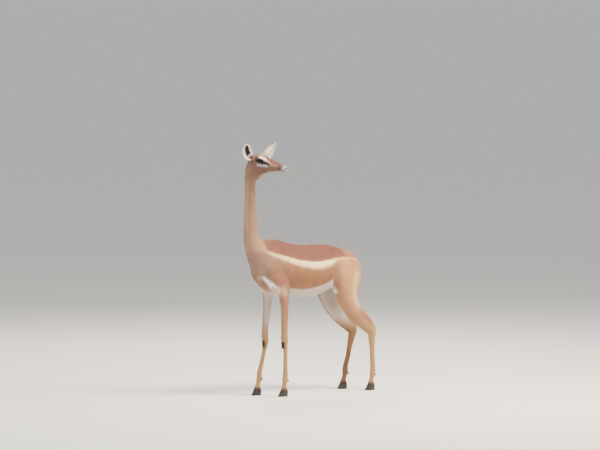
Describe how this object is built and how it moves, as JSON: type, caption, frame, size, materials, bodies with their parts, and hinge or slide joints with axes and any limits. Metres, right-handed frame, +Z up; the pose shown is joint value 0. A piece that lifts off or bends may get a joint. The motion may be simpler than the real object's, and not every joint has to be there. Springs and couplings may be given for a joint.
{
  "type": "female gerenuk model",
  "caption": "Life-size still model of a standing female gerenuk, a long-necked gazelle, its head turned to its left.",
  "frame": {"origin": "on the floor, under the middle of the whole model's box", "axes": "-X is the way the body faces, -Y is the animal's left, +Z is up"},
  "size_m": [0.9654, 0.3702, 1.4627],
  "materials": {
    "torso_coat": "short sleek hair, red-brown back, fawn flank, white belly",
    "neck_coat": "short sleek hair, fawn",
    "head_coat": "short sleek hair, fawn with white eye ring",
    "leg_coat": "short sleek hair, fawn outside, white inside",
    "ear_coat": "fine hair, fawn back, white rim, dark cup",
    "tail_hair": "fawn tail with a black tuft",
    "hoof_horn": "black horn, satin",
    "eye": "dark brown, wet gloss"
  },
  "bodies": {
    "root": {"ear_left": "ear_coat", "ear_right": "ear_coat", "eye_left": "eye", "eye_right": "eye", "foreleg_left_lower": "leg_coat", "foreleg_left_upper": "leg_coat", "foreleg_right_lower": "leg_coat", "foreleg_right_upper": "leg_coat", "head": "head_coat", "hindleg_left_lower": "leg_coat", "hindleg_left_upper": "leg_coat", "hindleg_right_lower": "leg_coat", "hindleg_right_upper": "leg_coat", "hoof_fore_left": "hoof_horn", "hoof_fore_right": "hoof_horn", "hoof_hind_left": "hoof_horn", "hoof_hind_right": "hoof_horn", "neck": "neck_coat", "tail": "tail_hair", "torso": "torso_coat"}
  },
  "joints": []
}
